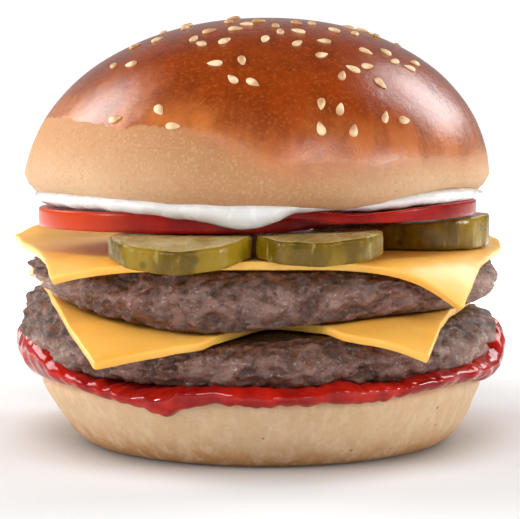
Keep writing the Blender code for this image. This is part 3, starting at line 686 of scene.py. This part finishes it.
def pickle(node, looks, x, y, radius, lift, wedge, bend, seed):
    """A round slice with a ridged skin."""
    half = PICKLE_THICKNESS / 2
    rim = disc_profile(radius, -half, half, 0.8 * MM, 18, 0.5)
    flats = [share * radius for share in (0.15, 0.3, 0.45, 0.6, 0.75, 0.87)]
    below = [(reach, -half) for reach in flats]
    above = [(reach, half) for reach in reversed(flats)]
    profile = [rim[0], *below, *rim[1:-1], *above, rim[-1]]

    def ridged_skin(angle, reach, height):
        ridge = 1 + 0.012 * math.cos(math.radians(9 * angle)) + 0.02 * around(angle, 1.5, seed)
        place = polar(angle, reach * ridge, height)
        skin = eased((reach - radius + 1.5 * MM) / (1.2 * MM))
        warts = fbm(Vector((place.x, place.y, 0.5 * place.z)), 3.2 * MM, seed + 2, 2)
        place += polar(angle, 0.22 * MM * skin * warts, 0)
        flesh = eased((radius - 1.6 * MM - reach) / (2 * MM))
        place.z += 0.08 * MM * flesh * fbm(place, 3.5 * MM, seed + 5, 2) * (1 if height > 0 else 0)
        place += Vector((x, y, PICKLE_BOTTOM + half))
        across = (place.x - x + radius) / (2 * radius)
        place.z += MM * (lift * across + wedge * across * (height + half) / (2 * half))
        place.z -= MM * bend * max(0, (-place.y - BEND_START) / BEND_REACH) ** 1.3
        return place

    mesh = turned(node + "_look", profile, 220, ridged_skin)
    two_looks(mesh, lambda f: abs(f.normal.z) > 0.86, looks)
    made = piece(node + "_look", mesh, [])
    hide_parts(node)


LEFT_TOMATO = Vector((-12.0, -9.0)) * MM
LEFT_TOMATO_RADIUS = 34.5 * MM
LEFT_TOMATO_THINNING = 1.1 * MM  # how much thinner its right half is
LEFT_TOMATO_RISE = 0.9 * MM  # its right end stands up on the middle pickle
RIGHT_TOMATO = Vector((12.5, -12.0)) * MM
RIGHT_TOMATO_RADIUS = 32.3 * MM
RIGHT_TOMATO_THICKNESS = (1.9 * MM, 3.1 * MM)  # in front and at its right end
RIGHT_TOMATO_LOW = (48.2 * MM, 48.8 * MM)  # how low it hangs in front and at its right end
TOMATO_EDGE = 0.7 * MM
BACK_TOMATO = Vector((2.0, 11.5)) * MM
BACK_TOMATO_RADIUS = 35.0 * MM
BACK_TOMATO_CUT = 29.5 * MM


def tomato(node, looks, centre, radius, faces, seed, cut=None):
    """A slice. faces(x, y): its lower and upper height there. cut: where its front is cut off straight."""
    rim = disc_profile(radius, 0, 1, TOMATO_EDGE, 18, 0.4)[1:-1]
    flats = [share * radius for share in (0.15, 0.3, 0.42, 0.54, 0.64, 0.74, 0.82, 0.88, 0.93, 0.97)]
    profile = [(0, 0), *((r, 0) for r in flats), *rim, *((r, 1) for r in reversed(flats)), (0, 1)]

    def placed(angle, reach, share):
        point = polar(angle, reach * (1 + 0.015 * around(angle, 1.6, seed)), 0)
        point += Vector((centre.x, centre.y, 0))
        if cut and point.y < cut:
            half_chord = math.sqrt(radius**2 - (cut - centre.y) ** 2)
            point.x = min(centre.x + half_chord, max(centre.x - half_chord, point.x))
            point.y = cut
        low, high = faces(point.x, point.y)
        point.z = low * (1 - share) + high * share
        return point

    mesh = turned(node + "_look", profile, 300, placed)
    mesh.set_sharp_from_angle(angle=math.radians(50))
    two_looks(mesh, lambda f: abs(f.normal.z) > 0.80, looks)
    made = piece(node + "_look", mesh, [])
    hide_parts(node)


def left_faces(x, y):
    low = TOMATO_BOTTOM + LEFT_TOMATO_RISE * eased((x - 3 * MM) / (14 * MM))
    return low, low + TOMATO_THICKNESS - LEFT_TOMATO_THINNING * eased((x + 8 * MM) / (12 * MM))


def right_faces(x, y):
    """It lies on the left slice and comes down past that one's edge."""
    past = (Vector((x, y)) - LEFT_TOMATO).length - LEFT_TOMATO_RADIUS - 1.0 * MM
    fallen = eased(past / (9 * MM))
    to_right = eased((x - 18 * MM) / (24 * MM))
    lying = left_faces(x, y)[1] + GAP
    hanging = RIGHT_TOMATO_LOW[0] * (1 - to_right) + RIGHT_TOMATO_LOW[1] * to_right
    low = lying * (1 - fallen) + hanging * fallen
    return low, low + RIGHT_TOMATO_THICKNESS[0] * (1 - to_right) + RIGHT_TOMATO_THICKNESS[1] * to_right


def back_faces(x, y):
    return TOMATO_BOTTOM, TOMATO_BOTTOM + TOMATO_THICKNESS


def mayonnaise():
    """A layer under the top bun with the bead that comes out over the tomato."""

    def spread(angle, radius, share):
        if radius <= MAYO_INNER:
            return polar(angle, radius, MAYO_BOTTOM + share * (MAYO_TOP - MAYO_BOTTOM))
        lowest, highest, outer = (value * MM for value in rim_values(MAYO_EDGE, angle))
        lowest += 0.25 * MM * around(angle, 13, 5.0)
        reach = outer - (1 - radius) * 2 * MAYO_BEAD
        place = polar(angle, reach, lowest + share * (highest - lowest))
        return place + polar(angle, 0.30 * MM * fbm(place, 7 * MM, 6.0, 2), 0)

    layer = sauce_layer(MAYO_INNER, 24)
    made = piece("mayonnaise_look", turned("mayonnaise_look", layer, 700, spread), [mayonnaise_look()])
    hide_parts("mayonnaise")


def top_bun_profile():
    underside = [(0, 55.6), (30, 55.4), (39.0, 55.2), (43.0, 54.3), (45.2, 52.8)]
    profile = [(r * MM, z * MM) for r, z in underside]
    profile += smooth_line(((46.4 * MM, 52.0 * MM), (47.6 * MM, 52.7 * MM), (48.9 * MM, 54.2 * MM)), 5)
    rise = TOP_BUN_CREST - TOP_BUN_WIDEST
    steps = 96
    for step in range(5, steps + 1):
        turn = math.radians(90 * step / steps)
        radius = max(0, math.cos(turn)) ** (2 / DOME_POWER) * BUN_RADIUS
        height = math.sin(turn) ** (2 / DOME_POWER) * rise
        profile.append((radius if step < steps else 0, TOP_BUN_WIDEST + height))
    return profile


def top_bun_place(angle, radius, height):
    """The dome leans a little and is not quite round. Its rim hangs down in front and rises at the sides."""
    rise = max(0, height - TOP_BUN_WIDEST) / (TOP_BUN_CREST - TOP_BUN_WIDEST)
    point = polar(angle, radius * (1 + 0.006 * around(angle, 1.2, 7.0)), height)
    point.x += TOP_BUN_LEAN * (rise - 0.35)
    wave = 0.8 * (lobe(angle, 90, 60) + lobe(angle, -90, 60)) - 0.8 * lobe(angle, 0, 48)
    wave += 0.4 * (lobe(angle, 54, 22) - lobe(angle, 22, 18))
    point.z += MM * wave * eased(radius / BUN_RADIUS) * (1 - eased(5 * rise))
    return point


def on_dome(angle, height):
    """The point of the dome at an angle and height, and the direction that points out of it there."""
    rise = TOP_BUN_CREST - TOP_BUN_WIDEST
    share = (height - TOP_BUN_WIDEST) / rise
    radius = BUN_RADIUS * max(0, 1 - share**DOME_POWER) ** (1 / DOME_POWER)
    outwards = polar(angle, max(radius, 1e-6) ** (DOME_POWER - 1) / BUN_RADIUS**DOME_POWER, 0)
    outwards.z = share ** (DOME_POWER - 1) / rise
    return top_bun_place(angle, radius, height), outwards.normalized()


def height_on_dome(radius):
    share = (1 - (radius / BUN_RADIUS) ** DOME_POWER) ** (1 / DOME_POWER)
    return TOP_BUN_WIDEST + share * (TOP_BUN_CREST - TOP_BUN_WIDEST)


SEED_LENGTH = 3.1 * MM
SEED_WIDTH = 1.9 * MM
SEED_HEIGHT = 1.1 * MM
CAP_SEEDS = 19  # scattered over the cap and the back
CAP_RADIUS = 36.0 * MM
SHOWN_CAP_RADIUS = 22.0 * MM  # the front of the cap keeps to the fields below beyond this radius
SEED_SPACING = 3.6 * MM
# Fields of the dome where seeds lie: from and to an angle, lowest and highest mm, how many
SEED_FIELDS = (
    (-38, -12, 66, 72, 3), (8, 50, 62, 72, 6), (-17, 0, 75, 84.5, 6), (18, 60, 75, 82, 10),
    (2, 30, 82.5, 86, 4), (-66, -28, 79, 86, 5), (80, 250, 69, 81, 7),
)


def seed_places():
    """Angle and height of each sesame seed, drawn in the fields, then over the cap, clear of each other."""
    draw = random.Random(12)
    spots, taken = [], []

    def add(angle, height):
        point = on_dome(angle, height)[0]
        if all((point - other).length > SEED_SPACING for other in taken):
            spots.append((angle, height))
            taken.append(point)

    wanted = 0
    for start, end, lowest, highest, count in SEED_FIELDS:
        wanted += count
        while len(spots) < wanted:
            add(draw.uniform(start, end), MM * draw.uniform(lowest, highest))
    while len(spots) < wanted + CAP_SEEDS:
        angle = draw.uniform(-180, 180)
        radius = CAP_RADIUS * draw.random() ** 0.55
        if abs(angle) > 90 or radius < SHOWN_CAP_RADIUS:
            add(angle, height_on_dome(radius))
    return spots


CREST_SEEDS = 12  # further ones over the front of the crest
CREST_SPACING = 2.8 * MM


def all_seed_places():
    """The seeds that are fused to the solid, and further ones drawn on the crest, clear of them."""
    spots = seed_places()
    taken = [on_dome(*spot)[0] for spot in spots]
    draw = random.Random(3)
    wanted = len(spots) + CREST_SEEDS
    while len(spots) < wanted:
        spot = (draw.uniform(-66, 70), MM * draw.uniform(83, 88.6))
        point = on_dome(*spot)[0]
        if all((point - other).length > CREST_SPACING for other in taken):
            spots.append(spot)
            taken.append(point)
    return spots


def seed_points(sides=14, rings=12):
    """Points and faces of one plump drop with a pointed end, along X."""
    points, faces = [Vector((-0.5 * SEED_LENGTH, 0, 0))], []
    for ring in range(1, rings):
        share = ring / rings
        along = -0.5 + share
        width = math.sin(math.pi * share**0.86) ** 0.62 * (1.06 - 0.42 * share)
        for i in range(sides):
            turn = 2 * math.pi * i / sides
            points.append(Vector((along * SEED_LENGTH, width * SEED_WIDTH / 2 * math.cos(turn),
                                  width * SEED_HEIGHT / 2 * math.sin(turn))))
    points.append(Vector((0.5 * SEED_LENGTH, 0, 0)))
    for i in range(sides):
        j = (i + 1) % sides
        faces.append((0, 1 + j, 1 + i))
        for ring in range(rings - 2):
            low = 1 + ring * sides
            faces.append((low + i, low + j, low + sides + j, low + sides + i))
        last = 1 + (rings - 2) * sides
        faces.append((last + i, last + j, len(points) - 1))
    return points, faces


def top_bun():
    """The dome with its uneven rim, and the sesame seeds on it."""

    def place(angle, radius, height):
        point = top_bun_place(angle, radius, height)
        skin = eased((height - 52.5 * MM) / (4 * MM)) * eased(radius / (8 * MM))
        point += polar(angle, 0.12 * MM * skin * fbm(point, 12 * MM, 3.0, 2), 0)
        rim = eased((radius - 44 * MM) / (3 * MM)) * eased((58 * MM - height) / (4 * MM))
        point.z += 0.35 * MM * rim * fbm(Vector((point.x, point.y, 0)), 6 * MM, 5.0, 3)
        return point

    crust = piece("top_bun_look", turned("top_bun_look", top_bun_profile(), 420, place), [crust_look()])
    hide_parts("top_bun")
    shape, shape_faces = seed_points()
    draw, sizes = random.Random(5), random.Random(8)
    points, faces = [], []
    for angle, height in all_seed_places():
        point, outwards = on_dome(angle, height)
        turn = draw.uniform(0, 2 * math.pi)
        stance = outwards.to_track_quat("Z", "X").to_matrix() @ Matrix.Rotation(turn, 3, "Z")
        size = Vector((sizes.uniform(0.94, 1.06), sizes.uniform(0.9, 1.1), sizes.uniform(0.9, 1.1)))
        start = len(points)
        base = point + outwards * 0.12 * SEED_HEIGHT
        points += [base + stance @ Vector(a * b for a, b in zip(p, size)) for p in shape]
        faces += [tuple(start + i for i in face) for face in shape_faces]
    mesh = bpy.data.meshes.new("seeds_look")
    mesh.from_pydata([tuple(p) for p in points], [], faces)
    mesh.shade_smooth()
    seeds = piece("seeds_look", mesh, [seed_look()])
    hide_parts("top_bun")


# The lights: name, direction from the burger, distance, width and height, power
SOFTBOXES = (
    ("left_softbox", (-0.76, 0.30, 0.50), 0.62, (0.32, 0.36), 2.3),
    ("right_softbox", (0.66, 0.42, 0.54), 0.62, (0.28, 0.34), 2.0),
)
# These brighten the front and the sides and don't show in the gloss
FILLS = (
    ("left_side", (-0.90, -0.35, 0.30), 0.70, (0.40, 0.40), 2.5),
    ("right_side", (0.90, -0.35, 0.30), 0.70, (0.40, 0.40), 2.3),
    ("front_top", (-0.15, -0.75, 0.85), 0.75, (0.40, 0.25), 1.9),
)
# These only show as small highlights on what is wet
GLINTS = (
    ("front_glint", (-0.40, -0.80, 0.42), 0.60, (0.10, 0.05), 0.55),
    ("front_glint", (0.40, -0.80, 0.42), 0.60, (0.10, 0.05), 0.50),
    ("front_glint", (-0.85, -0.42, 0.22), 0.60, (0.10, 0.05), 0.9),
    ("front_glint", (0.85, -0.42, 0.22), 0.60, (0.10, 0.05), 0.9),
)
LIGHTS_AIM = Vector((0, 0, 45 * MM))
FLOOR_HALF = 3.0
CAMERA_PLACE = (0, -380 * MM, 67.3 * MM)
CAMERA_TILT = 4.4  # degrees down
CAMERA_LENS = 121.8


def area_light(name, direction, distance, size, power):
    light = bpy.data.lights.new(name, "AREA")
    light.shape = "RECTANGLE"
    light.size, light.size_y = size
    light.energy = power
    obj = bpy.data.objects.new(name, light)
    towards = Vector(direction).normalized()
    obj.location = LIGHTS_AIM + towards * distance
    obj.rotation_mode = "QUATERNION"
    obj.rotation_quaternion = towards.to_track_quat("Z", "Y")
    bpy.context.scene.collection.objects.link(obj)
    return obj


def floor():
    """A pale ground with a painted contact shadow where the burger stands, which glows to white further away.
    """
    mesh = bpy.data.meshes.new("floor")
    half = FLOOR_HALF
    corners = [(-half, -half, 0), (half, -half, 0), (half, half, 0), (-half, half, 0)]
    mesh.from_pydata(corners, [], [(0, 1, 2, 3)])
    ground = bpy.data.objects.new("floor", mesh)
    bpy.context.scene.collection.objects.link(ground)
    look = Look("floor_look", Roughness=0.9)
    squares = look.sum(look.calc("MULTIPLY", look.x, look.x), look.calc("MULTIPLY", look.y, look.y))
    away = look.calc("SQRT", squares)
    far = look.remap(away, 0.07, 0.30)
    # Painted shadow: the ground is painted darker close round the burger's base.
    contact = look.remap(away, 0.036, 0.060)
    look.set("Base Color", look.mix(contact, (0.37, 0.33, 0.305), (0.80, 0.795, 0.795)))
    look.set("Specular IOR Level", 0.1)
    look.set("Emission Color", (1, 1, 1))
    look.set("Emission Strength", look.sum(0.04, far, 1.05))
    mesh.materials.append(look.material)


def studio_world():
    """White behind the burger, and a grey room with a darker ceiling in its reflections."""
    world = bpy.data.worlds.new("studio")
    bpy.context.scene.world = world
    world.use_nodes = True
    nodes, links = world.node_tree.nodes, world.node_tree.links
    direction = nodes.new("ShaderNodeTexCoord")
    split = nodes.new("ShaderNodeSeparateXYZ")
    links.new(direction.outputs["Generated"], split.inputs[0])
    overhead = nodes.new("ShaderNodeMapRange")
    overhead.interpolation_type = "SMOOTHSTEP"
    for socket, value in (("From Min", 0.35), ("From Max", 0.75), ("To Min", 0.38), ("To Max", 0.07)):
        overhead.inputs[socket].default_value = value
    links.new(split.outputs[2], overhead.inputs["Value"])
    path = nodes.new("ShaderNodeLightPath")
    shown = nodes.new("ShaderNodeMapRange")
    shown.inputs["To Max"].default_value = 1.05
    links.new(path.outputs["Is Camera Ray"], shown.inputs["Value"])
    links.new(overhead.outputs[0], shown.inputs["To Min"])
    background = nodes["Background"]
    links.new(shown.outputs[0], background.inputs["Strength"])
    background.inputs["Color"].default_value = (1, 1, 1, 1)


def lights():
    for light in SOFTBOXES:
        area_light(*light)
    for light in FILLS:
        area_light(*light).visible_glossy = False
    for light in GLINTS:
        area_light(*light).visible_diffuse = False


def camera():
    """The camera fitted to the photo."""
    data = bpy.data.cameras.new("camera")
    obj = bpy.data.objects.new("camera", data)
    data.lens = CAMERA_LENS
    data.clip_start = 10 * MM
    obj.location = CAMERA_PLACE
    obj.rotation_euler = (math.radians(90 - CAMERA_TILT), 0, 0)
    bpy.context.scene.collection.objects.link(obj)
    bpy.context.scene.camera = obj
    bpy.context.scene.view_settings.view_transform = "Standard"


def burger():
    """Every piece, from the base up."""
    bottom_bun()
    ketchup()
    patty("patty_lower", LOWER_PATTY_BOTTOM, LOWER_PATTY_THICKNESS, shift=0, seed=3.0, lifts=(0, 1))
    slices = cheese_look()
    cheese("cheese_lower", slices, LOWER_CHEESE_BOTTOM,
           corners=((-31, -53), (31.3, -52), (54, 30), (-54, 30)),
           drops=(4.0, 5.5, 1.0, -0.5), bows=(3.0, 0.0, -6.0, 16.0), bend=1.05, curl=0.0, notch=12.0, lift=1)
    patty("patty_upper", UPPER_PATTY_BOTTOM, UPPER_PATTY_THICKNESS, shift=0.8 * MM, seed=14.0, lifts=(1, 0))
    cheese("cheese_upper", slices, UPPER_CHEESE_BOTTOM,
           corners=((-39.9, -41), (38.5, -41), (55.1, 29), (-56.8, 29)),
           drops=(5.2, 15.5, 0.4, -0.4), bows=(0.0, 3.2, 6.0, 20.0), bend=2.0, curl=2.2, notch=0.0, lift=0)
    green = [pickle_skin_look(), pickle_flesh_look()]
    for seed, (node, x, y, radius, lift, wedge, bend) in enumerate(PICKLES):
        pickle(node, green, x * MM, y * MM, radius * MM, lift, wedge, bend, seed)
    red = [tomato_skin_look(), tomato_flesh_look()]
    tomato("tomato_left", red, LEFT_TOMATO, LEFT_TOMATO_RADIUS, left_faces, seed=1.0)
    tomato("tomato_right", red, RIGHT_TOMATO, RIGHT_TOMATO_RADIUS, right_faces, seed=6.0)
    tomato("tomato_back", red, BACK_TOMATO, BACK_TOMATO_RADIUS, back_faces, seed=8.0, cut=BACK_TOMATO_CUT)
    mayonnaise()
    top_bun()


burger()
floor()
studio_world()
lights()
camera()
